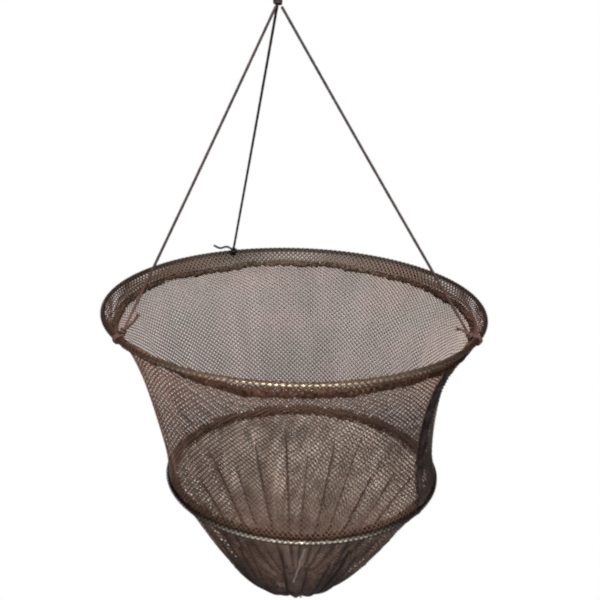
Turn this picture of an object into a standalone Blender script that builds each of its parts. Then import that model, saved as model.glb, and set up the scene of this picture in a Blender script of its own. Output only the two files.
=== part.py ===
"""Two-hoop drop net hung from a three-leg bridle.

Units are metres and +Z is up. The origin is the inside top of the hanging loop, where a hook
bears, and -Y is the side that the picture shows. Both steel hoops lie level below it. Netting is
folded over the upper hoop and sewn, drops to the lower hoop, is tucked round that, and ends in a
pleated bag whose end is gathered and tied.
"""
import math

import bmesh
import bpy
from mathutils import Matrix, Vector

# Driving dimensions.
upper_hoop_radius = 0.300
lower_hoop_radius = 0.223
rod_diameter = 0.006
hoop_spacing = 0.292
bag_depth = 0.233
bridle_height = 0.459
loop_height = 0.046
cord_diameter = 0.004
clearance = 0.0003

# How the net hangs: the legs are tied by hand, so the hoops hang a little to one side.
upper_hoop_offset = 0.035
lower_hoop_offset = 0.019
bag_end_offset = -0.004

# Netting. Its cloth is one layer of twine, and a hem or a tuck holds two.
cloth_thickness = 0.0012
strand_thickness = 0.0022
hem_drop = 0.021
hem_draw_in = 0.0165
hem_slit = 0.0006
waist_depth = 0.0045
seam_side_pull = 0.0055
flare_share = 0.31
side_columns = 24
side_rows = 6
bag_columns = 24
bag_rows = 6
bag_pleats = 12
pleat_depth = 0.005
bag_roundness_share = 0.73
bag_fullness_share = 2.27
seam_width = 0.014
seam_angle = math.radians(-30)
side_seam_margin_share = 0.03
bag_seam_margin_share = 0.05
seam_crest_share = 1
stitch_diameter = 0.0018
lacing_slot_overrun = 0.0007

# Gathered end of the bag: a dish of folds, a tied neck and a tuft of cut edges.
gather_radius = 0.034
gather_dish = 0.006
gather_folds = 16
gather_fold_share = 0.10
neck_radius = 0.0065
neck_height = 0.012
tuft_radius = 0.0105
tuft_height = 0.012
tie_diameter = 0.0022
tie_turns = 2
tie_tail = 0.022

# Bridle: each leg takes two turns round the hoop and then some hitches round itself.
hitch_angles = {"left": math.radians(211), "back": math.radians(113.2), "right": math.radians(333.5)}
hitch_turns = {"left": 2.0, "back": 1.5, "right": 1.5}
hitch_tails = {"left": (0.017, 0.006, 0.020), "back": (-0.036, 0.002, 0.005), "right": (-0.016, 0.006, 0.014)}
hoop_turns = 2
turn_gap = 0.0006
hitch_run_up = 0.013
wrap_end_angle = math.radians(100)
tail_shares = [0.3, 0.65, 1.0]
leg_sag = 0.002
knot_radius = 0.0065
knot_height = 0.015
loop_width = 0.026
knot_strands = 3
knot_strand_share = 0.12
knot_outline_shares = [
    (0.78, 0, 0), (0.92, 0.12, 1), (1, 0.32, 1), (1, 0.66, 1), (0.85, 0.88, 1), (0.62, 1, 0)
]
loop_shares = [(0.18, 0), (0.19, 0.08), (0.5, 0.32), (0.95, 0.62), (0.8, 0.9), (0, 1)]

# Counts.
hoop_segments = 56
rod_sides = 8
hem_arc_steps = 7
leg_points = 36
turn_points = 14
seam_steps = 12
knot_sides = 24
cord_bevel_steps = 2
knot_bevel_steps = 1
curve_steps = 12
route_step_diameters = 1.5
apart_diameters = 2.5

# Places that follow from the sizes above.
cord_radius = cord_diameter / 2
rod_radius = rod_diameter / 2
strand_radius = strand_thickness / 2
sleeve_inner = rod_radius + clearance
sleeve_outer = sleeve_inner + cloth_thickness
apex_z = -loop_height - knot_height - clearance
upper_hoop_z = apex_z - bridle_height
lower_hoop_z = upper_hoop_z - hoop_spacing
bag_end_z = lower_hoop_z - bag_depth
upper_centre = Vector((upper_hoop_offset, 0, upper_hoop_z))
lower_centre = Vector((upper_hoop_offset + lower_hoop_offset, 0, lower_hoop_z))
bag_end_x = lower_centre.x + bag_end_offset
hem_edge_radius = upper_hoop_radius - hem_draw_in
hem_edge_z = upper_hoop_z - hem_drop
stitch_radius = stitch_diameter / 2
tie_radius = tie_diameter / 2
weld_distance = clearance / 10
full_turn = 2 * math.pi
upward = Vector((0, 0, 1))

# Colour, roughness and metallic value of each kind of stuff.
finishes = {
    "steel": ((0.62, 0.56, 0.44), 0.35, 1.0),
    "net": ((0.16, 0.11, 0.09), 0.85, 0.0),
    "hem": ((0.13, 0.08, 0.06), 0.85, 0.0),
    "seam": ((0.09, 0.05, 0.05), 0.85, 0.0),
    "cord": ((0.14, 0.10, 0.09), 0.75, 0.0),
}


# Scene and materials.
for old in list(bpy.data.objects):
    bpy.data.objects.remove(old, do_unlink=True)


def material(name, colour, roughness, metallic):
    """A plain Principled material with the piece's colour."""
    made = bpy.data.materials.new(name)
    made.use_nodes = True
    shader = made.node_tree.nodes["Principled BSDF"]
    shader.inputs["Base Color"].default_value = (*colour, 1.0)
    shader.inputs["Roughness"].default_value = roughness
    shader.inputs["Metallic"].default_value = metallic
    return made


def body(name, centre):
    """An empty on a body's line of travel, which carries that body's pieces."""
    made = bpy.data.objects.new(name, None)
    made.location = centre
    bpy.context.collection.objects.link(made)
    return made


bridle_body = body("bridle_body", Vector((0, 0, 0)))
upper_body = body("upper_ring_body", upper_centre)
lower_body = body("lower_ring_body", lower_centre)
end_body = body("bag_end_body", Vector((bag_end_x, 0, bag_end_z)))


def carry(piece, carrier):
    """Hangs a piece on its body, left where it was modelled."""
    piece.parent = carrier
    piece.matrix_parent_inverse = Matrix.Translation(-carrier.location)
    return piece


def place(name, shape_data, colour_name, carrier):
    """Puts a mesh or curve into the scene as one named sub-part with a material of its own."""
    made = bpy.data.objects.new(name, shape_data)
    made.data.materials.append(material(name, *finishes[colour_name]))
    bpy.context.collection.objects.link(made)
    return carry(made, carrier)


def finished_mesh(name, shape, sharp_angle=math.radians(50)):
    """Turns a bmesh's faces outwards and makes it a mesh, smooth but for its real edges."""
    bmesh.ops.recalc_face_normals(shape, faces=shape.faces)
    mesh = bpy.data.meshes.new(name)
    shape.to_mesh(mesh)
    shape.free()
    mesh.shade_smooth()
    mesh.set_sharp_from_angle(angle=sharp_angle)
    return mesh


# Hoops, hem, tuck and stitches: rings about an upright axis.
def ring(name, centre, radius, thickness, sides, colour_name, carrier):
    """A plain round ring of rod or cord."""
    bpy.ops.mesh.primitive_torus_add(
        major_segments=hoop_segments, minor_segments=sides, major_radius=radius, minor_radius=thickness / 2
    )
    made = bpy.context.active_object
    made.name = name
    made.data.name = name
    made.location = centre
    made.data.materials.append(material(name, *finishes[colour_name]))
    made.data.shade_smooth()
    return carry(made, carrier)


def spun(name, centre, outline, colour_name, carrier):
    """Spins a closed outline of (radius, height) points once round the upright axis at centre."""
    shape = bmesh.new()
    corners = [shape.verts.new((radius, 0, height)) for radius, height in outline]
    edges = [shape.edges.new((a, b)) for a, b in zip(corners, corners[1:] + corners[:1])]
    bmesh.ops.spin(
        shape, geom=corners + edges, cent=(0, 0, 0), axis=upward, angle=full_turn,
        steps=hoop_segments, use_merge=True,
    )
    bmesh.ops.remove_doubles(shape, verts=shape.verts, dist=weld_distance)
    made = place(name, finished_mesh(name, shape), colour_name, carrier)
    made.location = centre
    return made


def arc(centre_radius, size, start, end, steps):
    """Points of an arc about the rod, as (radius, height) pairs, with angles from the outward side."""
    angles = [start + (end - start) * step / steps for step in range(steps + 1)]
    return [(centre_radius + size * math.cos(angle), size * math.sin(angle)) for angle in angles]


ring("upper_hoop", upper_centre, upper_hoop_radius, rod_diameter, rod_sides, "steel", upper_body)
ring("lower_hoop", lower_centre, lower_hoop_radius, rod_diameter, rod_sides, "steel", lower_body)

# The hem is netting folded over the rod: two flanks leave it and close to a narrow slit at their sewn edge.
flap_angle = math.atan2(-hem_drop, -hem_draw_in)
flap_length = math.hypot(hem_drop, hem_draw_in)
flap_along = Vector((math.cos(flap_angle), math.sin(flap_angle)))
flap_across = Vector((-flap_along.y, flap_along.x))
flap_slope = (sleeve_inner - hem_slit / 2) / flap_length


def hem_skin(size, half):
    """One skin of the hem: from the flap's end, round the rod, and back to the flap's end."""
    turn = math.acos((size - half) / flap_length)
    start = flap_angle - turn
    tip = flap_along * flap_length
    near, far = tip - flap_across * half, tip + flap_across * half
    points = arc(upper_hoop_radius, size, start, start + 2 * turn - full_turn, hem_arc_steps)
    return [(upper_hoop_radius + near.x, near.y)] + points + [(upper_hoop_radius + far.x, far.y)]


hem_outline = hem_skin(sleeve_outer, hem_slit / 2 + cloth_thickness)
hem_outline += list(reversed(hem_skin(sleeve_inner, hem_slit / 2)))
hem = spun("hem", upper_centre, hem_outline, "hem", upper_body)

# The tuck round the lower hoop is open along its inner side, where it is sewn.
opening = math.asin(hem_slit / sleeve_inner)
tuck_outline = arc(lower_hoop_radius, sleeve_outer, math.pi - opening, opening - math.pi, hem_arc_steps + 1)
tuck_outline += arc(lower_hoop_radius, sleeve_inner, opening - math.pi, math.pi - opening, hem_arc_steps + 1)
spun("lower_tuck", lower_centre, tuck_outline, "hem", lower_body)

# Stitching cords: one on the inside of the hem's sewn edge, one along the opening of the tuck.
stitch_half = hem_slit / 2 + flap_slope * stitch_diameter + cloth_thickness + clearance + stitch_radius
stitch_place = flap_along * (flap_length - stitch_diameter) - flap_across * stitch_half
ring(
    "hem_stitch", upper_centre + upward * stitch_place.y, upper_hoop_radius + stitch_place.x,
    stitch_diameter, rod_sides - 2, "seam", upper_body,
)
ring(
    "tuck_stitch", lower_centre, lower_hoop_radius - sleeve_outer - clearance - stitch_radius,
    stitch_diameter, rod_sides - 2, "seam", lower_body,
)

# Netting: diamond meshes laid on a curved skin.
side_top_z = hem_edge_z - clearance - strand_thickness
side_end_z = lower_hoop_z + sleeve_outer + clearance + strand_radius
side_drop = side_top_z - side_end_z
bag_top_z = lower_hoop_z - sleeve_outer - clearance - strand_radius
gather_z = bag_end_z + gather_dish
bag_end_share = (1 - (gather_radius / lower_hoop_radius) ** bag_fullness_share) ** (1 / bag_roundness_share)


def side_skin(angle, share, outward=0.0):
    """A point of the side netting: it flares to the hem, narrows at the waist and leans to the lower hoop."""
    end = math.exp(-1 / flare_share)
    flare = (math.exp(-share / flare_share) - end) / (1 - end)
    radius = lower_hoop_radius + (hem_edge_radius - lower_hoop_radius) * flare + outward
    radius -= waist_depth * math.sin(math.pi * share**3)
    radius -= seam_side_pull * math.sin(math.pi * share) * math.cos(angle)
    x = upper_centre.x + lower_hoop_offset * share + radius * math.cos(angle)
    return Vector((x, radius * math.sin(angle), side_top_z - side_drop * share))


def bag_skin(angle, share, outward=0.0):
    """A point of the bag: a rounded cone that narrows to the gather, in pleats that a seam lies over."""
    fall = share * bag_end_share
    radius = lower_hoop_radius * (1 - fall**bag_roundness_share) ** (1 / bag_fullness_share) + outward
    fold = math.cos(bag_pleats * angle) if outward == 0 else seam_crest_share
    radius += pleat_depth * math.sin(math.pi * share) * fold
    x = lower_centre.x + bag_end_offset * share**2 + radius * math.cos(angle)
    return Vector((x, radius * math.sin(angle), bag_top_z + (gather_z - bag_top_z) * share))


def diamond_net(name, skin, columns, rows, carrier):
    """Diamond meshes on a skin, each row half a mesh round from the last, with an edge strand at each end."""
    shape = bmesh.new()
    levels = []
    for row in range(rows + 1):
        places = [(column + (row % 2) / 2) / columns for column in range(columns)]
        levels.append([shape.verts.new(skin(full_turn * around, row / rows)) for around in places])
    for row in range(1, rows):
        for column in range(columns):
            left, right = levels[row][column - 1], levels[row][column]
            tip = column if row % 2 == 1 else column - 1
            shape.faces.new((levels[row - 1][tip], left, levels[row + 1][tip], right))
    for edge_row, inner_row in ((0, 1), (rows, rows - 1)):
        for column in range(columns):
            following = (column + 1) % columns
            tip = column if edge_row % 2 == 0 else following
            shape.faces.new((levels[edge_row][column], levels[edge_row][following], levels[inner_row][tip]))
    made = place(name, finished_mesh(name, shape), "net", carrier)
    strands = made.modifiers.new("strands", "WIREFRAME")
    strands.thickness = strand_thickness
    strands.use_boundary = True
    strands.use_replace = True
    strands.use_even_offset = False
    return made


diamond_net("side_netting", side_skin, side_columns, side_rows, upper_body)
diamond_net("bag_netting", bag_skin, bag_columns, bag_rows, lower_body)


# Closed lofts: the sewn strips, the gathered end and the knot are loops of corners joined in order.
def lofted(name, loops, colour_name, carrier):
    """Joins closed loops of equal numbers of corners, in order, and closes the first and the last."""
    shape = bmesh.new()
    rows = [[shape.verts.new(corner) for corner in loop] for loop in loops]
    for one, two in zip(rows, rows[1:]):
        for side in range(len(one)):
            after = (side + 1) % len(one)
            shape.faces.new((one[side], one[after], two[after], two[side]))
    for row in (rows[0], rows[-1]):
        middle = shape.verts.new(sum((corner.co for corner in row), Vector()) / len(row))
        for side in range(len(row)):
            shape.faces.new((middle, row[side], row[(side + 1) % len(row)]))
    return place(name, finished_mesh(name, shape), colour_name, carrier)


def seam_strip(name, skin, margin_share, carrier):
    """A flat sewn strip of doubled netting that runs down the outside of a skin."""
    inner = strand_thickness + clearance
    outer = inner + 2 * cloth_thickness
    loops = []
    for step in range(seam_steps + 1):
        share = margin_share + (1 - 2 * margin_share) * step / seam_steps
        middle = skin(seam_angle, share)
        half_turn = seam_width / 2 / math.hypot(middle.x - upper_centre.x, middle.y)
        corners = ((-half_turn, inner), (half_turn, inner), (half_turn, outer), (-half_turn, outer))
        loops.append([skin(seam_angle + angle, share, outward) for angle, outward in corners])
    return lofted(name, loops, "seam", carrier)


seam_strip("side_seam", side_skin, side_seam_margin_share, upper_body)
seam_strip("bag_seam", bag_skin, bag_seam_margin_share, lower_body)


def fluted(name, centre, outline, folds, fold_share, sides, twist, colour_name, carrier):
    """A turned shape of (radius, height, fold) points whose outside is fluted, with a twist if asked."""
    start = outline[0][1]
    loops = []
    for radius, height, fold in outline:
        loop = []
        for side in range(sides):
            angle = full_turn * side / sides
            reach = radius * (1 + fold * fold_share * math.cos(folds * angle - twist * (height - start)))
            loop.append(centre + Vector((reach * math.cos(angle), reach * math.sin(angle), height)))
        loops.append(loop)
    return lofted(name, loops, colour_name, carrier)


# Gathered end of the bag. Its folds start under the bag's last strand and run in to the tied neck.
gather_wall = 2 * cloth_thickness
dish_top = gather_dish - clearance - strand_thickness / 4
neck_top = -gather_wall
neck_end = neck_top - gather_wall - neck_height
tuft_end = neck_end - tuft_height
middle_radius = (gather_radius + neck_radius) / 2
gather_outline = [
    (neck_radius / 2, neck_top + gather_wall, 0),
    (middle_radius, dish_top / 2, 0.5),
    (gather_radius - gather_wall, dish_top, 0.5),
    (gather_radius, dish_top - gather_wall / 2, 1),
    (middle_radius, dish_top / 2 - gather_wall, 1),
    (neck_radius + gather_wall, neck_top, 1),
    (neck_radius, neck_top - gather_wall, 0.5),
    (neck_radius, neck_end, 0.5),
    (tuft_radius, tuft_end + gather_wall, 1),
    (neck_radius, tuft_end, 1),
]
end_centre = Vector((bag_end_x, 0, bag_end_z))
fluted(
    "gathered_end", end_centre, gather_outline, gather_folds, gather_fold_share, 2 * gather_folds,
    0, "hem", end_body,
)

# Knot at the top of the bridle, where the three legs and the loop are tied together.
knot_outline = [
    (knot_radius * radius_share, knot_height * height_share, fold)
    for radius_share, height_share, fold in knot_outline_shares
]
apex = Vector((0, 0, apex_z))
fluted(
    "bridle_knot", apex, knot_outline, knot_strands, knot_strand_share, knot_sides,
    full_turn / knot_height, "cord", bridle_body,
)


# Cords: tubes along smooth curves.
def smooth_route(points, spacing):
    """Reads a smooth curve through the points of a route at even steps of its length."""
    ends = [points[0] * 2 - points[1]] + points + [points[-1] * 2 - points[-2]]
    curve = []
    for before, start, finish, after in zip(ends, ends[1:], ends[2:], ends[3:]):
        for step in range(curve_steps):
            t = step / curve_steps
            curve.append(
                (2 * start + (finish - before) * t + (2 * before - 5 * start + 4 * finish - after) * t**2
                 + (3 * start - before - 3 * finish + after) * t**3) / 2
            )
    curve.append(points[-1])
    lengths = [0.0]
    for one, two in zip(curve, curve[1:]):
        lengths.append(lengths[-1] + (two - one).length)
    count = max(2, round(lengths[-1] / spacing))
    read = []
    at = 0
    for step in range(count + 1):
        wanted = lengths[-1] * step / count
        while at < len(curve) - 2 and lengths[at + 1] < wanted:
            at += 1
        part = (wanted - lengths[at]) / (lengths[at + 1] - lengths[at])
        read.append(curve[at].lerp(curve[at + 1], min(1, part)))
    return read


def cord(name, points, diameter, bevel_steps, colour_name, carrier):
    """A round cord: a curve with a bevel and filled ends through the given points."""
    line = bpy.data.curves.new(name, "CURVE")
    line.dimensions = "3D"
    line.bevel_depth = diameter / 2
    line.bevel_resolution = bevel_steps
    line.use_fill_caps = True
    spline = line.splines.new("POLY")
    spline.points.add(len(points) - 1)
    for point, spot in zip(spline.points, points):
        point.co = (*spot, 1)
    return place(name, line, colour_name, carrier)


def measure(name, points, diameter):
    """Prints a cord's length and its least space to itself, between points that lie well apart along it."""
    travelled = [0.0]
    for one, two in zip(points, points[1:]):
        travelled.append(travelled[-1] + (two - one).length)
    least = math.inf
    for first, one in enumerate(points):
        for second in range(first + 1, len(points)):
            if travelled[second] - travelled[first] > apart_diameters * diameter:
                least = min(least, (points[second] - one).length - diameter)
    print(f"{name}: {travelled[-1]:.4f} m long, least gap to itself {least * 1000:.2f} mm")


# Bridle legs and their hitches.
leg_foot_height = cord_diameter + clearance
leg_ring_radius = 2 * cord_radius / math.sqrt(3) + clearance
wrap_radius = (sleeve_outer + clearance + cord_radius) / math.cos(math.pi / turn_points)
turn_pitch = cord_diameter + turn_gap


def hitch_frame(angle):
    """Where a leg is tied: the rod's middle there, the outward direction, and the way the turns move on."""
    outward = Vector((math.cos(angle), math.sin(angle), 0))
    along = Vector((-math.sin(angle), math.cos(angle), 0))
    half_segment = full_turn / hoop_segments / 2
    reach = math.cos(half_segment) / math.cos(angle % (2 * half_segment) - half_segment)
    rod = upper_centre + outward * upper_hoop_radius * reach
    away = math.copysign(1, (rod - apex).dot(along))
    return rod, outward, along * away


def about_rod(rod, outward, angle, size):
    """A point about the rod at an angle that is counted from the outward side upwards."""
    return rod + size * (math.cos(angle) * outward + math.sin(angle) * upward)


def leg_ends(angle):
    """Where a leg first touches the hem, where it enters the top knot, and that first turn's start angle."""
    rod, outward, along = hitch_frame(angle)
    lean = apex - rod
    start_angle = math.atan2(lean.dot(upward), lean.dot(outward)) + math.pi / 2
    foot = about_rod(rod, outward, start_angle, wrap_radius)
    spread = Vector((foot.x - apex.x, foot.y - apex.y, 0))
    lean_share = spread.length / (foot - apex).length
    drop = clearance + cord_radius * lean_share
    return foot, apex - upward * drop + spread.normalized() * leg_ring_radius, start_angle


def hitch_points(angle, turns_round_leg, tail):
    """The tied end of a leg: turns round the rod, a run up, turns round the leg itself, and a short tail."""
    rod, outward, along = hitch_frame(angle)
    foot, head, start_angle = leg_ends(angle)
    leg = (head - foot).normalized()
    beside = (along - leg * along.dot(leg)).normalized()
    across = leg.cross(beside)
    points = [foot + leg * cord_diameter]
    total = hoop_turns * full_turn - (start_angle - wrap_end_angle)
    count = round(turn_points * total / full_turn)
    for step in range(count + 1):
        turn = total * step / count
        spot = about_rod(rod, outward, start_angle + turn, wrap_radius)
        points.append(spot + along * turn_pitch * turn / full_turn)
    count = round(turn_points * turns_round_leg)
    for step in range(count + 1):
        turn = full_turn * turns_round_leg * step / count
        spot = foot + leg * (hitch_run_up + turn_pitch * turn / full_turn)
        points.append(spot + turn_pitch * (math.cos(turn) * beside + math.sin(turn) * across))
    last = points[-1]
    leaving = last - points[-2]
    for share in tail_shares:
        points.append(last + leaving * (1 - share) + tail * share)
    return points


for side, angle in hitch_angles.items():
    foot, head, start_angle = leg_ends(angle)
    low = foot + (head - foot).normalized() * leg_foot_height
    shares = [step / (leg_points - 1) for step in range(leg_points)]
    points = [low.lerp(head, share) - upward * leg_sag * math.sin(math.pi * share) for share in shares]
    cord(f"bridle_leg_{side}", points, cord_diameter, cord_bevel_steps, "cord", bridle_body)
    measure(f"bridle_leg_{side}", points, cord_diameter)
    tied = hitch_points(angle, hitch_turns[side], Vector(hitch_tails[side]))
    cord(f"hitch_{side}", tied, cord_diameter, knot_bevel_steps, "cord", upper_body)
    measure(f"hitch_{side}", tied, cord_diameter)

# The turns pass through the netting of the hem close under the rod, so the hem has a slot for each pair.
slot_start = rod_radius / 2
slot_length = wrap_radius + cord_radius + lacing_slot_overrun - slot_start
slot_depth = 2 * (sleeve_outer + cord_diameter)
slot_width = hoop_turns * turn_pitch + 2 * lacing_slot_overrun
for side, angle in hitch_angles.items():
    rod, outward, along = hitch_frame(angle)
    flap = outward * flap_along.x + upward * flap_along.y
    through = flap.cross(along)
    bpy.ops.mesh.primitive_cube_add(size=1)
    cutter = bpy.context.active_object
    cutter.name = f"slot_{side}"
    middle = rod + flap * (slot_start + slot_length / 2) + along * turn_pitch / 2
    turned = Matrix((flap, along, through)).transposed().to_4x4()
    sized = Matrix.Diagonal((slot_length, slot_width, slot_depth, 1))
    cutter.data.transform(Matrix.Translation(middle) @ turned @ sized)
    cutter.hide_render = True
    cutter.display_type = "WIRE"
    cut = hem.modifiers.new(f"slot_{side}", "BOOLEAN")
    cut.operation = "DIFFERENCE"
    cut.object = cutter

# Hanging loop: its inside top is the origin, and both of its ends enter the top knot.
half_loop = [
    Vector((loop_width / 2 * across_share, 0, -loop_height * (1 - up_share) + cord_radius * up_share))
    for across_share, up_share in loop_shares
]
loop_route = half_loop + [Vector((-spot.x, 0, spot.z)) for spot in reversed(half_loop[:-1])]
loop_points = smooth_route(loop_route, route_step_diameters * cord_diameter)
cord("hanging_loop", loop_points, cord_diameter, cord_bevel_steps, "cord", bridle_body)
measure("hanging_loop", loop_points, cord_diameter)

# Tie round the gathered neck: turns of thin cord whose two ends stand off.
tie_wind_radius = neck_radius * (1 + gather_fold_share) + clearance + tie_radius
tie_pitch = tie_diameter + turn_gap
tie_top = neck_top - gather_wall - tie_diameter
tie_count = tie_turns * turn_points
tie_points = []
for step in range(tie_count + 1):
    turn = full_turn * tie_turns * step / tie_count
    sink = tie_top - tie_pitch * turn / full_turn
    wound = Vector((tie_wind_radius * math.sin(turn), -tie_wind_radius * math.cos(turn), sink))
    tie_points.append(end_centre + wound)
first_way = Vector((-tie_tail, -tie_radius, -tie_radius))
last_way = Vector((tie_tail, -tie_radius, -tie_tail / 2))
first_tail = [tie_points[0] + first_way * share for share in reversed(tail_shares)]
last_tail = [tie_points[-1] + last_way * share for share in tail_shares]
tie_points = first_tail + tie_points + last_tail
cord("gather_tie", tie_points, tie_diameter, knot_bevel_steps, "seam", end_body)
measure("gather_tie", tie_points, tie_diameter)
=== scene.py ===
"""Looks of a two-hoop drop net: fine diamond netting on two steel hoops, hung from a three-leg cord bridle.

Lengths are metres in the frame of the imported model: the origin is the inside top of the hanging loop, +Z is
up and -Y is the side that the picture shows.
"""
import math

import bpy
import numpy as np
from mathutils import Matrix, Vector


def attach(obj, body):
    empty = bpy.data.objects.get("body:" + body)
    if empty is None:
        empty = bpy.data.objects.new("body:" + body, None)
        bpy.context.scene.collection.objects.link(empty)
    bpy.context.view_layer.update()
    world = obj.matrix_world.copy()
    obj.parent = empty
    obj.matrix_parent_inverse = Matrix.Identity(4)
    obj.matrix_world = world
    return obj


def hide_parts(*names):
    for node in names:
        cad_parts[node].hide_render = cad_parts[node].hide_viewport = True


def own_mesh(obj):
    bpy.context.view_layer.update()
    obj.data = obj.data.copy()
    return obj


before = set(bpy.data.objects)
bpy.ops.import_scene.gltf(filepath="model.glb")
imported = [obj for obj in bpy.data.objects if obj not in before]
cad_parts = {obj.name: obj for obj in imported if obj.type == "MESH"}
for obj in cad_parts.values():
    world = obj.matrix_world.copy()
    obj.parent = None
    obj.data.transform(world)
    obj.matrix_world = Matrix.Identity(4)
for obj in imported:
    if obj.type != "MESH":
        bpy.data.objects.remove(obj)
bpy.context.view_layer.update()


# Camera, light and floor
# The camera stands a little above the hoops and looks 20 degrees down, as the picture's did. The room is a
# white studio with a pale floor: a cool soft lamp overhead, a small warm one and one for glints at the
# front, and one behind that keeps the back of the net from going dark.
def point_camera(place, yaw, pitch, roll, lens):
    """A camera at a place, turned yaw to the left of +Y, pitch below level, and roll about its line of
    sight."""
    level = Vector((-math.sin(yaw), math.cos(yaw), 0))
    side = Vector((math.cos(yaw), math.sin(yaw), 0))
    ahead = level * math.cos(pitch) - Vector((0, 0, math.sin(pitch)))
    above = level * math.sin(pitch) + Vector((0, 0, math.cos(pitch)))
    right = side * math.cos(roll) + above * math.sin(roll)
    up = above * math.cos(roll) - side * math.sin(roll)
    camera = bpy.data.objects.new("camera", bpy.data.cameras.new("camera"))
    camera.data.lens = lens
    camera.data.sensor_width = 36
    camera.matrix_world = Matrix.Translation(place) @ Matrix((right, up, -ahead)).transposed().to_4x4()
    bpy.context.scene.collection.objects.link(camera)
    return camera


bpy.context.scene.camera = point_camera(
    place=Vector((0.0309, -1.4941, 0.0326)), yaw=math.radians(-0.475), pitch=math.radians(19.985),
    roll=math.radians(1.53), lens=59.97,
)
bpy.context.scene.view_settings.view_transform = "Standard"
bpy.context.scene.view_settings.look = "None"
bpy.context.scene.cycles.filter_width = 2.2


def feed(tree, node, inputs):
    """Links other sockets to a node's inputs, or sets constants on them."""
    for name, value in inputs.items():
        if isinstance(value, bpy.types.NodeSocket):
            tree.links.new(value, node.inputs[name])
        else:
            node.inputs[name].default_value = value


def put_node(tree, kind, inputs=None, **settings):
    """A new shader node of a kind, with its settings and its inputs."""
    made = tree.nodes.new("ShaderNode" + kind)
    for name, value in settings.items():
        setattr(made, name, value)
    feed(tree, made, inputs or {})
    return made


def node_material(name):
    """A new node material, its tree and its Principled shader."""
    made = bpy.data.materials.new(name)
    made.use_nodes = True
    return made, made.node_tree, made.node_tree.nodes["Principled BSDF"]


def white_to_view(tree, seen, cast):
    """Mixes two backgrounds or shaders: one that is seen, and a dimmer one that lights the net."""
    path = put_node(tree, "LightPath")
    return put_node(tree, "MixShader", {0: path.outputs["Is Camera Ray"], 1: cast, 2: seen}).outputs[0]


def studio_surround(overhead, below):
    """A white surround whose light falls off from overhead to below, by the height of the direction."""
    made = bpy.data.worlds.new("white_studio")
    made.use_nodes = True
    tree = made.node_tree
    seen = tree.nodes["Background"]
    feed(tree, seen, {"Color": (1, 1, 1, 1)})
    way = put_node(tree, "TexCoord").outputs["Generated"]
    height = put_node(tree, "SeparateXYZ", {0: way}).outputs["Z"]
    spread = put_node(tree, "MapRange", {
        "Value": height, "From Min": -1, "To Min": below, "To Max": overhead,
    })
    cast = put_node(tree, "Background", {"Strength": spread.outputs[0]})
    feed(tree, tree.nodes["World Output"], {"Surface": white_to_view(tree, seen.outputs[0], cast.outputs[0])})
    return made


bpy.context.scene.world = studio_surround(overhead=0.4, below=0.08)


def soft_lamp(name, place, target, size, power, colour):
    """A square area lamp at a place, turned to face a target."""
    lamp = bpy.data.objects.new(name, bpy.data.lights.new(name, "AREA"))
    lamp.data.size = size
    lamp.data.energy = power
    lamp.data.color = colour
    lamp.location = place
    lamp.rotation_euler = (Vector(target) - Vector(place)).to_track_quat("-Z", "Y").to_euler()
    bpy.context.scene.collection.objects.link(lamp)
    return lamp


low_target = (0.03, 0, -0.75)
front_target = (0.03, 0, -0.62)
soft_lamp("front_lamp", (-0.28, -1.52, -0.02), front_target, size=0.12, power=9, colour=(1.0, 0.88, 0.76))
glint_lamp = soft_lamp("glint_lamp", (0.04, -1.60, -0.74), front_target, size=0.8, power=24,
                       colour=(1.0, 0.96, 0.90))
glint_lamp.visible_diffuse = False
top_lamp = soft_lamp("top_lamp", (0.1, -0.9, 1.3), low_target, size=0.5, power=310, colour=(0.72, 0.90, 1.0))
top_lamp.visible_glossy = False
back_lamp = soft_lamp("back_lamp", (-0.5, 1.9, 0.1), low_target, size=1.0, power=50, colour=(1.0, 0.97, 0.93))
back_lamp.visible_glossy = False

floor_depth = -1.45
floor_half = 30.0
floor = bpy.data.objects.new("floor", bpy.data.meshes.new("floor"))
floor.data.from_pydata(
    [(x, y, floor_depth) for x, y in ((-floor_half, -floor_half), (floor_half, -floor_half),
                                      (floor_half, floor_half), (-floor_half, floor_half))],
    [], [(0, 1, 2, 3)],
)
paper, paper_tree, paper_shader = node_material("pale_floor")
feed(paper_tree, paper_shader, {"Base Color": (0.35, 0.35, 0.35, 1), "Roughness": 0.9})
paper_white = put_node(paper_tree, "Emission")
paper_surface = white_to_view(paper_tree, paper_white.outputs[0], paper_shader.outputs[0])
feed(paper_tree, paper_tree.nodes["Material Output"], {"Surface": paper_surface})
floor.data.materials.append(paper)
bpy.context.scene.collection.objects.link(floor)


# Upper and lower hoop
# Each hoop is one length of 6 mm steel rod rolled into a ring and butt-welded, with a thin golden passivated
# zinc finish that shows as bright dashes where light reaches it through the netting.
full_turn = 2 * math.pi
upper_centre = np.array((0.035, 0.0, -0.5203))
lower_centre = np.array((0.054, 0.0, -0.8123))
upper_radius = 0.300
lower_radius = 0.223
rod_radius = 0.003
hoop_steps = 240
rod_sides = 14


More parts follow.
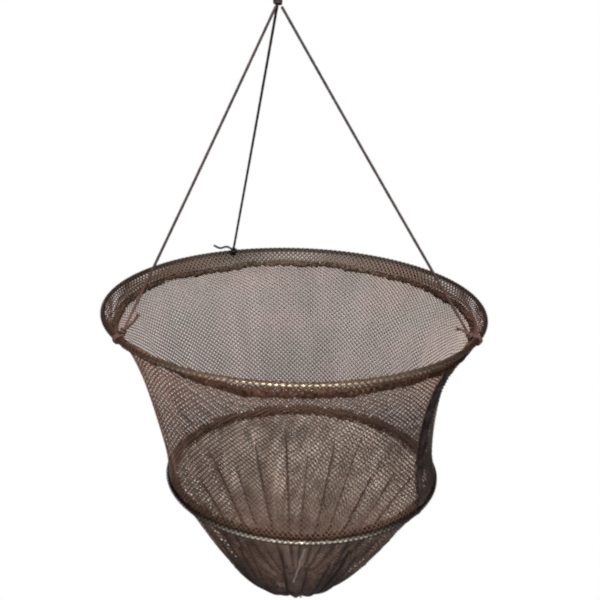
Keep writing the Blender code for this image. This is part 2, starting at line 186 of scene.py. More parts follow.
def put_mesh(name, grid, finish, looped=False, smooth=True):
    """Makes tubes into one closed mesh with a finish. The grid is (tubes, rings, sides, 3): neighbouring
    rings are joined by quads, and each tube is capped at its ends or, if looped, joined back to its first
    ring. The map "along" holds the length from the tube's start and the share of the way round it."""
    tubes, rings, sides, _ = grid.shape
    spans = rings if looped else rings - 1
    steps = np.linalg.norm(np.diff(grid.mean(axis=2), axis=1), axis=2)
    lengths = np.concatenate([np.zeros((tubes, 1)), np.cumsum(steps, axis=1)], axis=1)
    if looped:
        lengths = np.concatenate([lengths, lengths[:, -1:] + lengths[:, 1:2]], axis=1)
    tube, ring, side = np.meshgrid(np.arange(tubes), np.arange(spans), np.arange(sides), indexing="ij")
    following = (ring + 1) % rings
    beside = (side + 1) % sides
    start = tube * rings * sides
    quads = np.stack(
        [start + ring * sides + side, start + ring * sides + beside,
         start + following * sides + beside, start + following * sides + side], axis=-1
    ).reshape(-1, 4)
    reach = np.stack([lengths[tube, ring + step] for step in (0, 0, 1, 1)], -1)
    share = np.stack([side, side + 1, side + 1, side], -1) / sides
    corners = quads.ravel()
    along = np.stack([reach.ravel(), share.ravel()], -1)
    totals = np.full(len(quads), 4)
    if not looped:
        first = np.arange(tubes)[:, None] * rings * sides
        near = first + np.arange(sides)[::-1]
        far = first + (rings - 1) * sides + np.arange(sides)
        caps = np.concatenate([near, far])
        corners = np.concatenate([corners, caps.ravel()])
        along = np.concatenate([along, np.zeros((caps.size, 2))])
        totals = np.concatenate([totals, np.full(len(caps), sides)])
    mesh = bpy.data.meshes.new(name)
    mesh.vertices.add(tubes * rings * sides)
    mesh.vertices.foreach_set("co", grid.astype(np.float32).ravel())
    mesh.loops.add(len(corners))
    mesh.loops.foreach_set("vertex_index", corners.astype(np.int32))
    mesh.polygons.add(len(totals))
    mesh.polygons.foreach_set("loop_start", np.concatenate([[0], np.cumsum(totals)[:-1]]).astype(np.int32))
    mesh.uv_layers.new(name="along").data.foreach_set("uv", along.astype(np.float32).ravel())
    mesh.update(calc_edges=True)
    mesh.materials.append(finish)
    if smooth:
        mesh.shade_smooth()
    made = bpy.data.objects.new(name, mesh)
    bpy.context.scene.collection.objects.link(made)
    return made


def unit(vectors):
    """Each vector divided by its own length."""
    return vectors / np.linalg.norm(vectors, axis=-1, keepdims=True)


def even_turn(count):
    """Angles that share a full turn evenly."""
    return full_turn * np.arange(count) / count


def tube(points, outward, reach, sides, looped=False):
    """A tube about a path. At each point the ring's places are the point, plus reach times the cosine of the
    way round towards the side direction, plus reach times its sine towards the outward direction."""
    if looped:
        ahead = unit(np.roll(points, -1, axis=0) - np.roll(points, 1, axis=0))
    else:
        ahead = unit(np.gradient(points, axis=0))
    outward = unit(outward - ahead * np.sum(outward * ahead, axis=-1, keepdims=True))
    sideways = np.cross(outward, ahead)
    turn = even_turn(sides)
    size = np.broadcast_to(reach, (len(points), sides))[..., None]
    ring = np.cos(turn)[:, None] * sideways[:, None, :] + np.sin(turn)[:, None] * outward[:, None, :]
    return (points[:, None, :] + size * ring)[None]


def circle_path(centre, radius, count):
    """Points of a level circle, and the outward direction at each."""
    turn = even_turn(count)
    outward = np.stack([np.cos(turn), np.sin(turn), np.zeros(count)], -1)
    return centre + radius * outward, outward


def object_places(tree):
    """The Object coordinates of what is shaded."""
    return put_node(tree, "TexCoord").outputs["Object"]


def eased(tree, value, start, stop):
    """How far a value has come from start to stop, from 0 to 1."""
    return put_node(tree, "MapRange", {"Value": value, "From Min": start, "From Max": stop}).outputs[0]


def mix_colours(tree, share, first, second, blend="MIX"):
    """Two colours blended by a share. A colour mix node has its share at socket 0, its colours at 6 and 7."""
    made = put_node(tree, "Mix", {0: share, 6: first, 7: second}, data_type="RGBA", blend_type=blend)
    return made.outputs[2]


def noise(tree, scale, detail, source=None):
    """A noise pattern on Object coordinates, or on another source of places."""
    source = source or object_places(tree)
    return put_node(tree, "TexNoise", {"Scale": scale, "Detail": detail, "Vector": source}).outputs["Fac"]


def ramp(tree, value, first, last):
    """A colour ramp that reads a value between two stops, each a place and a colour."""
    made = put_node(tree, "ValToRGB", {"Fac": value})
    for element, (place, colour) in zip(made.color_ramp.elements, (first, last)):
        element.position = place
        element.color = (*colour, 1)
    return made.outputs["Color"]


def bumped(tree, height, strength, distance):
    """A shading normal that follows the slope of a height."""
    made = put_node(tree, "Bump", {"Strength": strength, "Distance": distance, "Height": height})
    return made.outputs["Normal"]


def rod_finish(name, bright, dull, radius):
    """Drawn rod: metal whose colour and roughness change in blotches, with a fine grain. It keeps its bright
    colour where it faces -Y and has a sixth of the dull colour elsewhere: painted shade that keeps the
    back of the hoop dark and free of glints."""
    made, tree, shader = node_material(name)
    blotches = noise(tree, 60, 5)
    patched = ramp(tree, blotches, (0.35, dull), (0.62, bright))
    # Painted shade: all but the front of the rod is darkened, so the back of the hoop shows dark.
    toward = put_node(tree, "SeparateXYZ", {0: object_places(tree)}).outputs["Y"]
    front = eased(tree, toward, -radius * 0.70, -radius * 0.95)
    painted_dark_back = mix_colours(tree, front, (*(0.16 * share for share in dull), 1), patched)
    rough = ramp(tree, blotches, (0.3, (0.60, 0.60, 0.60)), (0.7, (0.44, 0.44, 0.44)))
    grain = bumped(tree, noise(tree, 900, 3), 0.25, 0.0002)
    feed(tree, shader, {"Base Color": painted_dark_back, "Roughness": rough, "Normal": grain, "Metallic": 1.0})
    return made


for name, centre, radius, carrier, finish in (
    ("upper_hoop_rod", upper_centre, upper_radius, "upper_ring",
     rod_finish("golden_rod", (0.50, 0.42, 0.31), (0.30, 0.26, 0.19), upper_radius)),
    ("lower_hoop_rod", lower_centre, lower_radius, "lower_ring",
     rod_finish("pale_rod", (0.62, 0.56, 0.46), (0.34, 0.31, 0.25), lower_radius)),
):
    middle, outward = circle_path(centre, radius, hoop_steps)
    rod = put_mesh(name, tube(middle, outward, rod_radius, rod_sides, looped=True), finish, looped=True)
    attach(rod, carrier)
    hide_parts(name.replace("_rod", ""))


# Side netting
# One tube of knotless diamond netting, 172 meshes round, of brown twine. It hangs from the hem, narrows at
# the waist and is gathered a little at the lower hoop, so it stands in soft upright folds.
net_columns = 172
mesh_bar = 0.0059
twine_width = 0.0030
twine_depth = 0.0008
twine_shares_round = (0.48, 1.12, 1.45)
hem_edge_radius = 0.2835
side_top = -0.5410
side_bottom = -0.8070
flare_rate = 0.31
side_anchor = (0, 0, -0.5413)
side_height = 0.266
hoop_lift_travel = 0.235
side_keep = 1 - hoop_lift_travel / side_height


def hem_sway(angle):
    """How far the sewn edge wanders up and in: sums of sines of the way round, and a bell where it's drawn up
    at the front left."""
    lift = 0.0016 * np.sin(5 * angle + 0.8) + 0.0011 * np.sin(11 * angle) + 0.0007 * np.sin(23 * angle + 2)
    away = (angle - math.radians(226) + math.pi) % full_turn - math.pi
    return lift + 0.0100 * np.exp(-((away / 0.42) ** 2)), 0.0010 * np.sin(7 * angle + 2.1)


def side_skin(angle, share):
    """The side netting's surface. The radius falls from the hem's edge to the lower hoop on an exponential of
    the share of the drop, less a waist and a pull on the seam's side, plus soft upright folds, and the middle
    shifts evenly from the upper hoop's to the lower's. The top follows the hem's sewn edge."""
    end = math.exp(-1 / flare_rate)
    flare = (np.exp(-share / flare_rate) - end) / (1 - end)
    radius = lower_radius + (hem_edge_radius - lower_radius) * flare
    radius = radius - 0.0045 * np.sin(math.pi * share**3) - 0.0055 * np.sin(math.pi * share) * np.cos(angle)
    folds = np.cos(26 * angle + 2 * np.sin(3 * angle)) * 0.6 + np.cos(41 * angle + 1.3) * 0.4
    radius = radius + 0.0022 * folds * np.sin(math.pi * np.clip(share, 0, 1)) ** 0.7
    x = upper_centre[0] + (lower_centre[0] - upper_centre[0]) * share + radius * np.cos(angle)
    z = side_top + (side_bottom - side_top) * share + hem_sway(angle)[0] * (1 - share) ** 5
    return np.stack([x, radius * np.sin(angle), z], -1)


def row_count(skin, start, stop, columns):
    """Rows of meshes from the start to each share of a skin. A row's height is the third side of a right
    triangle whose longest side is the mesh bar and whose other side is half a mesh of the skin's girth there,
    at most 0.94 of the bar."""
    shares = np.linspace(start, stop, 121)
    turn = np.linspace(0, full_turn, 241)
    places = skin(turn[None, :], shares[:, None])
    girth = np.linalg.norm(np.diff(places, axis=1), axis=2).sum(axis=1)
    drop = np.linalg.norm(np.diff(places, axis=0), axis=2).mean(axis=1)
    half = np.minimum(girth / columns / 2, mesh_bar * 0.94)
    height = np.sqrt(mesh_bar**2 - half**2)
    rows = np.concatenate([[0], np.cumsum(drop / (height[1:] + height[:-1]) * 2)])
    return shares, rows


def net_strands(skin, start, stop, pieces, width, shares_round, columns=net_columns):
    """A net's strands on a skin. Strand k starts at k meshes round and moves half a mesh round for each row,
    one family each way. Its ring is a flat lozenge: the width lies in the skin, the depth on its normal. The
    width is one value or is given at shares of the way down, and it's times a share that is given at the
    front, the sides and the back, with a parabola in the sine of the angle between them: slack netting at the
    back lies flatter."""
    front, flank, back = shares_round
    shares, rows = row_count(skin, start, stop, columns)
    share = np.linspace(start, stop, pieces + 1)[None, :]
    moved = np.interp(share, shares, rows) / 2
    grids = []
    for way in (1, -1):
        angle = (np.arange(columns)[:, None] + way * moved) * full_turn / columns
        share_here = share + 0 * angle
        points = skin(angle, share_here)
        around = skin(angle + 1e-3, share_here) - skin(angle - 1e-3, share_here)
        down = skin(angle, share_here + 1e-3) - skin(angle, share_here - 1e-3)
        outward = unit(np.cross(down, around))
        ahead = unit(np.gradient(points, axis=1))
        across = unit(np.cross(outward, ahead))
        points = points + outward * twine_depth * 0.3 * way
        half = np.interp(share, *width) / 2 if isinstance(width, tuple) else width / 2
        toward = np.sin(angle)
        round_share = flank + (back - front) / 2 * toward + ((back + front) / 2 - flank) * toward**2
        half = (half * round_share)[..., None]
        ring = [across * half, outward * twine_depth / 2, -across * half, -outward * twine_depth / 2]
        grids.append(points[:, :, None, :] + np.stack(ring, axis=2))
    return np.concatenate(grids)


def effect_group(name, inputs, outputs):
    """A node group and the nodes that carry its inputs and outputs inside. Each input has a name, a kind of
    socket and a value to start with, and each output a name and a kind."""
    group = bpy.data.node_groups.new(name, "ShaderNodeTree")
    for socket, kind, value in inputs:
        made = group.interface.new_socket(socket, in_out="INPUT", socket_type="NodeSocket" + kind)
        made.default_value = value
    for socket, kind in outputs:
        group.interface.new_socket(socket, in_out="OUTPUT", socket_type="NodeSocket" + kind)
    return group, group.nodes.new("NodeGroupInput"), group.nodes.new("NodeGroupOutput")


def fibre_group():
    """A node group for twisted fibre. Bands run round a cord at a slant, worked out from the map "along": the
    length over the pitch plus the share of the way round, times the number of strands. They darken the
    grooves with painted shade and give a height, and a slow noise drifts the colour between two shades."""
    group, inside, outside = effect_group("twisted_fibre", (
        ("Shade A", "Color", (0.1, 0.07, 0.05, 1)), ("Shade B", "Color", (0.2, 0.12, 0.1, 1)),
        ("Groove", "Color", (0.03, 0.02, 0.02, 1)), ("Pitch", "Float", 0.006), ("Strands", "Float", 3.0),
        ("Drift Scale", "Float", 14.0),
    ), (("Colour", "Color"), ("Height", "Float"), ("Roughness", "Float")))

    def number(operation, *values):
        return put_node(group, "Math", dict(enumerate(values)), operation=operation).outputs[0]

    chart = put_node(group, "UVMap", uv_map="along")
    parts = put_node(group, "SeparateXYZ", {0: chart.outputs["UV"]})
    slant = number("ADD", number("DIVIDE", parts.outputs["X"], inside.outputs["Pitch"]), parts.outputs["Y"])
    phase = number("MULTIPLY", number("MULTIPLY", slant, inside.outputs["Strands"]), math.pi)
    crown = number("ABSOLUTE", number("SINE", phase))
    drift = eased(group, noise(group, inside.outputs["Drift Scale"], 3), 0.38, 0.62)
    fuzz = noise(group, 1400, 2)
    shade = mix_colours(group, drift, inside.outputs["Shade A"], inside.outputs["Shade B"])
    # Painted shade: the grooves between the strands get a darker colour.
    groove_shaded = mix_colours(group, number("POWER", crown, 0.6), inside.outputs["Groove"], shade)
    height = number("ADD", crown, number("MULTIPLY", fuzz, 0.4))
    rough = number("ADD", number("MULTIPLY", fuzz, 0.3), 0.55)
    feed(group, outside, {"Colour": groove_shaded, "Height": height, "Roughness": rough})
    return group


def tint_group():
    """A node group that multiplies a colour by a tint, which comes in evenly between two places along a way.
    The place is the dot product of the Object coordinates and the way."""
    group, inside, outside = effect_group("tint_along_a_way", (
        ("Colour", "Color", (1, 1, 1, 1)), ("Way", "Vector", (0, 0, 1)), ("Start", "Float", 0.0),
        ("Stop", "Float", 1.0), ("Tint", "Color", (1, 1, 1, 1)),
    ), (("Colour", "Color"),))
    ways = {0: object_places(group), 1: inside.outputs["Way"]}
    product = put_node(group, "VectorMath", ways, operation="DOT_PRODUCT")
    come = eased(group, product.outputs["Value"], inside.outputs["Start"], inside.outputs["Stop"])
    tinted = mix_colours(group, come, inside.outputs["Colour"], inside.outputs["Tint"], "MULTIPLY")
    feed(group, outside, {"Colour": tinted})
    return group


def streak_group():
    """A node group that multiplies a colour by streaks or dots: a noise on Object coordinates, squeezed by a
    scale along each axis and read between a dark and a light shade."""
    group, inside, outside = effect_group("streaked_twine", (
        ("Colour", "Color", (1, 1, 1, 1)), ("Scale", "Vector", (1, 1, 1)), ("Dark", "Color", (1, 1, 1, 1)),
        ("Light", "Color", (1, 1, 1, 1)),
    ), (("Colour", "Color"),))
    squeeze = put_node(group, "Mapping", {"Vector": object_places(group), "Scale": inside.outputs["Scale"]})
    pattern = eased(group, noise(group, 1.0, 2, squeeze.outputs[0]), 0.36, 0.64)
    shade = mix_colours(group, pattern, inside.outputs["Dark"], inside.outputs["Light"])
    streaked = mix_colours(group, 1.0, inside.outputs["Colour"], shade, "MULTIPLY")
    feed(group, outside, {"Colour": streaked})
    return group


twisted_fibre = fibre_group()
tinted_way = tint_group()
streaked_twine = streak_group()


def twine_finish(name, shade_a, shade_b, groove, pitch, strands, drift, bump_depth):
    """Twisted twine: the fibre group's colour, roughness and height on a shader with hardly any shine."""
    made, tree, shader = node_material(name)
    fibre = put_node(tree, "Group", {
        "Shade A": (*shade_a, 1), "Shade B": (*shade_b, 1), "Groove": (*groove, 1), "Pitch": pitch,
        "Strands": strands, "Drift Scale": drift,
    }, node_tree=twisted_fibre).outputs
    feed(tree, shader, {
        "Base Color": fibre["Colour"], "Roughness": fibre["Roughness"], "Specular IOR Level": 0.06,
        "Normal": bumped(tree, fibre["Height"], 0.6, bump_depth),
    })
    return made


def put_effect(material, effect, values):
    """Places an effect group with its own values between a material's Base Color and what fed it."""
    tree = material.node_tree
    base = tree.nodes["Principled BSDF"].inputs["Base Color"]
    placed = put_node(tree, "Group", {"Colour": base.links[0].from_socket, **values}, node_tree=effect)
    tree.links.new(placed.outputs["Colour"], base)


def tint_along(material, way, start, stop, tint):
    """Tints a material from start to stop along X, Y or Z."""
    ways = {"X": (1, 0, 0), "Y": (0, 1, 0), "Z": (0, 0, 1)}
    put_effect(material, tinted_way, {"Way": ways[way], "Start": start, "Stop": stop, "Tint": (*tint, 1)})


def streaks(material, scale, dark, light):
    """Streaks a material between two shades, at a scale along each axis."""
    put_effect(material, streaked_twine, {"Scale": scale, "Dark": (*dark, 1), "Light": (*light, 1)})


net_twine = twine_finish(
    "net_twine", (0.126, 0.090, 0.074), (0.157, 0.101, 0.084), (0.063, 0.043, 0.036),
    pitch=0.005, strands=2, drift=12, bump_depth=0.0002,
)
streaks(net_twine, (16, 16, 3), (0.80, 0.80, 0.80), (1.0, 1.0, 1.0))
# Painted shade: the netting is darker and redder at the front, where its outer side gets little of the lamps'
# light, and a little darker on the right.
tint_along(net_twine, "Y", 0.12, -0.16, (0.84, 0.58, 0.45))
tint_along(net_twine, "X", 0.12, 0.24, (0.90, 0.90, 0.87))
side_strands = net_strands(side_skin, start=0.0, stop=1.0, pieces=54, width=twine_width,
                           shares_round=twine_shares_round)
side_netting = put_mesh("side_net", side_strands, net_twine, smooth=False)
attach(side_netting, "upper_ring")
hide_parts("side_netting")
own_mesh(side_netting)


# Hem
# The top of the netting is turned over the upper hoop, down its inside, and sewn to itself about 25 mm
# below. The two layers lie close, so the meshes show as slanting stripes, and the golden rod glints through
# at the rim.
sleeve_reach = 0.0038
hem_columns = 216
hem_twine_widths = ((0, 0.3, 0.42, 0.58, 0.7, 1), (0.0030, 0.0029, 0.0021, 0.0021, 0.0029, 0.0030))
hem_shares_round = (0.66, 0.98, 1.24)
flap_drop = np.array((-0.0165, -0.0192))
flap_gap = 0.0008
flap_bow = 0.0009


def lengths_along(points):
    """The length of a path from its start to each of its points."""
    return np.concatenate([[0], np.cumsum(np.linalg.norm(np.diff(points, axis=0), axis=1))])


def hem_outline():
    """The hem's section as (reach, height) about the rod: up the inner flank, round the rod, down the outer
    flank. The flanks bow out from the sewn edge by a sine of the way along them."""
    length = np.linalg.norm(flap_drop)
    along = flap_drop / length
    across = np.array((-along[1], along[0]))
    steps = np.linspace(0, 1, 13)[:-1, None]
    turn = math.acos(sleeve_reach / length)
    base = math.atan2(along[1], along[0])
    start = base - turn
    arc = start + (2 * turn - full_turn) * np.linspace(0, 1, 25)
    bend = sleeve_reach * np.stack([np.cos(arc), np.sin(arc)], -1)
    bow = flap_bow * np.sin(math.pi * steps)
    tip = flap_drop * 0.97
    up = tip - across * flap_gap + (bend[0] - tip + across * flap_gap) * steps - across * bow
    down = (tip + across * flap_gap + (bend[-1] - tip - across * flap_gap) * steps + across * bow)[::-1]
    outline = np.concatenate([up, bend, down])
    lengths = lengths_along(outline)
    return outline, lengths / lengths[-1]


hem_points, hem_shares = hem_outline()


def hem_skin(angle, share):
    """The hem's surface: its section carried round the upper hoop, with the sewn edge wandering a little."""
    reach = np.interp(share, hem_shares, hem_points[:, 0])
    height = np.interp(share, hem_shares, hem_points[:, 1])
    lift, pull = hem_sway(angle)
    near = np.clip(height / flap_drop[1], 0, 1) ** 1.5
    radius = upper_radius + reach + pull * near
    x = upper_centre[0] + radius * np.cos(angle)
    return np.stack([x, radius * np.sin(angle), upper_centre[2] + height + lift * near], -1)


hem_twine = twine_finish(
    "hem_twine", (0.060, 0.039, 0.028), (0.084, 0.048, 0.035), (0.028, 0.018, 0.013),
    pitch=0.005, strands=2, drift=12, bump_depth=0.0002,
)
# Painted light and shade: the hem is lighter and redder at the front, darker over the top of the rod and
# darker towards its left and right ends. Its twine is darker than the side netting's, as painted shade
# between its two close layers.
tint_along(hem_twine, "Y", 0.05, -0.20, (1.42, 1.05, 0.92))
tint_along(hem_twine, "Z", -0.5250, -0.5190, (0.42, 0.48, 0.47))
tint_along(hem_twine, "X", 0.20, 0.30, (0.52, 0.42, 0.40))
tint_along(hem_twine, "X", -0.12, -0.23, (0.60, 0.50, 0.48))
hem_strands = net_strands(hem_skin, start=0.004, stop=0.996, pieces=36, width=hem_twine_widths,
                          shares_round=hem_shares_round, columns=hem_columns)
hem = put_mesh("hem_net", hem_strands, hem_twine, smooth=False)
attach(hem, "upper_ring")
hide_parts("hem")


# Hem seam
# The sewn edge of the hem is bunched into a roll of its own netting, and a thin cord is whipped round it
# about once in each mesh. The roll's twine is painted much darker than the netting's, as shade among the
# bunched strands.
edge_steps = 2400
edge_inset = 0.0003
edge_drop = 0.0227
edge_roll_reach = 0.0049
edge_whipping_reach = 0.0055
whipping_radius = 0.00075
upright = np.array((0.0, 0.0, 1.0))


def seam_roll(name, middle, outward, reach, sides, finish):
    """A bunched roll along a closed path: a tube whose reach swells and thins on sums of sines along it and
    round it."""
    turn = even_turn(len(middle))[:, None]
    side = even_turn(sides)[None, :]
    swell = 1 + 0.26 * np.sin(61 * turn + 2 * side) + 0.20 * np.sin(97 * turn - 3 * side + 1)
    swell = swell + 0.14 * np.sin(17 * turn)
    return put_mesh(name, tube(middle, outward, reach * swell, sides, looped=True), finish, looped=True)


def whipping(name, middle, outward, reaches, turns, finish):
    """A cord wound round a closed path. Its line is the path plus the two reaches times the cosine and sine
    of the turns made so far, towards the outward and the upright direction."""
    turn = full_turn * turns * np.arange(len(middle))[:, None] / len(middle)
    away = reaches[0] * np.cos(turn) * outward + reaches[1] * np.sin(turn) * upright
    return put_mesh(name, tube(middle + away, away, whipping_radius, 5, looped=True), finish, looped=True)


hem_seam_twine = twine_finish(
    "hem_seam_twine", (0.030, 0.017, 0.011), (0.050, 0.027, 0.018), (0.012, 0.007, 0.004),
    pitch=0.003, strands=3, drift=30, bump_depth=0.0003,
)
streaks(hem_seam_twine, (230, 230, 200), (0.35, 0.35, 0.35), (1.4, 1.4, 1.4))
# Painted light and shade: the seam is lighter at the front and darker towards its left and right ends.
tint_along(hem_seam_twine, "Y", 0.05, -0.20, (2.1, 1.68, 1.60))
tint_along(hem_seam_twine, "X", -0.04, -0.18, (0.60, 0.54, 0.54))
tint_along(hem_seam_twine, "X", 0.14, 0.24, (0.52, 0.40, 0.40))
edge_lift, edge_pull = hem_sway(even_turn(edge_steps))
_, edge_outward = circle_path(upper_centre, 1.0, edge_steps)
edge_middle = edge_outward * (hem_edge_radius - edge_inset + edge_pull)[:, None] + upper_centre
edge_middle[:, 2] += edge_lift - edge_drop
hem_roll = seam_roll("hem_seam_roll", edge_middle[::3], edge_outward[::3], edge_roll_reach, sides=8,
                     finish=hem_seam_twine)
hem_whipping = whipping("hem_whipping", edge_middle, edge_outward, (edge_whipping_reach, edge_whipping_reach),
                        turns=200, finish=hem_seam_twine)
for piece in (hem_roll, hem_whipping):
    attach(piece, "upper_ring")
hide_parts("hem_stitch")


# Tuck round the lower hoop
# The side netting and the bag are laid over the lower hoop together and laced along its inside, which makes a
# bunched roll there, while the rod still glints through the meshes on the outside. Their twine here is
# painted far darker than elsewhere, as shade in the roll and round the rod.
tuck_reach = 0.0042
tuck_end = math.radians(172)
tuck_twine_width = 0.0018
tuck_shares_round = (0.72, 1, 1)
tuck_steps = 2000
roll_inset = 0.0066
roll_lift = 0.0040
roll_sides = 14


def flat_reach(half_width, half_depth, sides):
    """The reach of an ellipse at each way round it: one over the root of the squares of the cosine over the
    half width and of the sine over the half depth."""
    way = even_turn(sides)
    return 1 / np.sqrt((np.cos(way) / half_width) ** 2 + (np.sin(way) / half_depth) ** 2)


def tuck_skin(angle, share):
    """The tuck's surface: a circle about the rod, from its inner side over the top and back underneath."""
    way = tuck_end - 2 * tuck_end * share
    radius = lower_radius + tuck_reach * np.cos(way)
    x = lower_centre[0] + radius * np.cos(angle)
    return np.stack([x, radius * np.sin(angle), lower_centre[2] + tuck_reach * np.sin(way) + 0 * angle], -1)


# Painted shade: the tuck's twine is far darker than the same netting elsewhere.
tuck_twine = twine_finish(
    "tuck_twine", (0.013, 0.008, 0.006), (0.022, 0.011, 0.008), (0.006, 0.004, 0.003),
    pitch=0.005, strands=2, drift=14, bump_depth=0.0002,
)
tuck_strands = net_strands(tuck_skin, start=0.0, stop=1.0, pieces=12, width=tuck_twine_width,
                           shares_round=tuck_shares_round)
tuck = put_mesh("tuck_net", tuck_strands, tuck_twine, smooth=False)
roll_centre = lower_centre + roll_lift * upright
tuck_middle, tuck_outward = circle_path(roll_centre, lower_radius - roll_inset, tuck_steps)
tuck_middle[:, 2] += 0.0006 * np.sin(9 * full_turn * np.arange(tuck_steps) / tuck_steps)
roll_reach = flat_reach(half_width=0.0038, half_depth=0.0064, sides=roll_sides)
tuck_roll = seam_roll("tuck_seam_roll", tuck_middle[::4], tuck_outward[::4], roll_reach, roll_sides,
                      tuck_twine)
tuck_lacing = whipping("tuck_lacing", tuck_middle, tuck_outward, reaches=(0.0042, 0.0070), turns=150,
                       finish=tuck_twine)
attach(tuck, "lower_ring")
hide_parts("lower_tuck")
for piece in (tuck_roll, tuck_lacing):
    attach(piece, "lower_ring")
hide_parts("tuck_stitch")


# Bag netting
# The same tube of netting goes on below the lower hoop and is drawn together at its end. There is too much of
# it for the narrowing shape, so meshes are taken up in narrow creases that run down to the tie, four of them
# close together on either side of the front.
bag_top = -0.8172
bag_bottom = -1.0393
gather_reach = 0.036
bag_round = 0.73
bag_full = 2.27
bag_end_shift = -0.004
bag_end_share = (1 - (gather_reach / lower_radius) ** bag_full) ** (1 / bag_round)
bag_shares_round = (0.50, 1.26, 1.70)
bag_anchor = (0, 0, -0.8168)
bag_height = 0.2225
bag_lift_travel = 0.200
bag_keep = 1 - bag_lift_travel / bag_height
crease_angles = np.array((
    0.16, 0.43, 0.66, 0.97, 1.21, 1.49, 1.72, 2.05, 2.33, 2.58, 2.90, 3.17, 3.45, 3.70, 4.02, 4.27, 4.55,
    4.79, 5.10, 5.36, 5.70, 5.98,
))
crease_depths = np.array((
    0.8, 0.4, 1.0, 0.6, 0.9, 0.5, 1.0, 0.8, 0.4, 0.9, 0.7, 1.0, 0.5, 0.8, 1.0, 0.4, 0.9, 0.6, 1.0, 0.8, 0.4,
    0.9,
))


def bag_skin(angle, share):
    """The bag's surface. The radius is the lower hoop's times a rounded power curve of the share of the drop.
    Near each crease the netting is squeezed sideways and dips in by a bell curve of the angle from it,
    deepest halfway down. The middle shifts sideways with the square of the share. Past a share of one, the
    netting goes on inside the gathered end, in and down on a straight slope."""
    past = np.clip(share - 1, 0, None)
    share = np.clip(share, 0, 1)
    radius = lower_radius * (1 - (share * bag_end_share) ** bag_round) ** (1 / bag_full)
    away = (angle[..., None] - crease_angles + math.pi) % full_turn - math.pi
    taken = (np.clip(share * 5, 0, 1) ** 0.8)[..., None] * crease_depths
    bell = taken * np.exp(-((away / 0.052) ** 2))
    squeezed = angle - 0.86 * np.sum(away * bell, axis=-1)
    depth = 0.0125 * np.sin(math.pi * (0.06 + 0.86 * share)) ** 0.8
    radius = radius + depth * (0.05 - np.sum(bell, axis=-1)) * np.clip(share * 8, 0, 1) - 0.26 * past
    x = lower_centre[0] + bag_end_shift * share**2 - 0.006 * share * (1 - share) + radius * np.cos(squeezed)
    z = bag_top + (bag_bottom - bag_top) * share + (0.0015 + 0.0045 * np.cos(angle)) * share**3
    return np.stack([x, radius * np.sin(squeezed), z - 0.066 * past], -1)


bag_twine = twine_finish(
    "bag_twine", (0.114, 0.081, 0.064), (0.252, 0.169, 0.131), (0.072, 0.048, 0.038),
    pitch=0.005, strands=2, drift=22, bump_depth=0.0002,
)
streaks(bag_twine, (34, 34, 5), (0.58, 0.56, 0.54), (1.0, 1.0, 1.0))
# Painted shade: the bag darkens towards the bottom and at the front, where its outer side faces down and gets
# little light.
tint_along(bag_twine, "Z", -0.92, -1.00, (0.38, 0.34, 0.33))
tint_along(bag_twine, "Y", 0.09, -0.12, (0.56, 0.42, 0.35))
bag_strands = net_strands(bag_skin, start=0.0, stop=1.05, pieces=72, width=twine_width * 1.05,
                          shares_round=bag_shares_round)
bag_net = put_mesh("bag_net", bag_strands, bag_twine, smooth=False)
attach(bag_net, "lower_ring")
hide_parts("bag_netting")
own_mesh(bag_net)


slack_angles = np.array((3.86, 3.94, 4.10, 4.18, 4.98, 5.05, 5.16, 5.23))
slack_depths = np.array((1.7, 2.3, 2.1, 1.5, 1.5, 2.1, 2.3, 1.7))


def crease_folds(angles, depths, count):
    """The netting that is taken up in each crease, as a thin fold that thickens on its way down. Its middle
    lies a little inside the bag at the crease's angle, and its section is a narrow wavy ellipse."""
    share = np.linspace(0, 1, count)
    grids = []
    for which, (angle, depth) in enumerate(zip(angles, depths)):
        start = 0.10 + 0.10 * (which % 3)
        down = start + (0.99 - start) * share
        wander = angle + 0.010 * np.sin(7 * down + 1.7 * which) * (1 - down)
        points = bag_skin(wander, down)
        inward = unit(np.array((lower_centre[0], 0, 0)) - points * np.array((1, 1, 0)))
        size = (0.0009 + 0.0012 * share**0.7) * (0.7 + 0.45 * depth) * (1 + 0.12 * np.sin(90 * down + which))
        reach = flat_reach(1.0, 1.9, 6) * np.minimum(size, 0.0025)[:, None]
        grids.append(tube(points + inward * 0.0012, inward, reach, 6))
    return np.concatenate(grids)


# Painted shade: the creases' twine is far darker than the bag's, as shade in the creases. The tie is of the
# same dark twine.
crease_twine = twine_finish(
    "crease_twine", (0.018, 0.011, 0.009), (0.036, 0.018, 0.015), (0.008, 0.005, 0.004),
    pitch=0.003, strands=3, drift=30, bump_depth=0.0003,
)
all_folds = crease_folds(
    np.append(crease_angles, slack_angles), np.append(crease_depths, slack_depths), count=90
)
creases = put_mesh("bag_creases", all_folds, crease_twine)
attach(creases, "lower_ring")
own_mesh(creases)


# Seams down the side and the bag
# The tube of netting is closed with a seam at the right of the picture: both edges are bunched together into
# a ribbed band, and a cord is whipped along each side of it. The band is dark partly because its netting is
# dense and partly by painted shade among the bunched edges.
seam_angle = math.radians(-30)
seam_sunk = 0.0010
stitch_radius = 0.0007
stitch_pitch = 0.006


def seam_width(share):
    """The share of the seam's width that is left: a quarter of it goes with the square of the way down."""
    return 1 - 0.25 * share**2


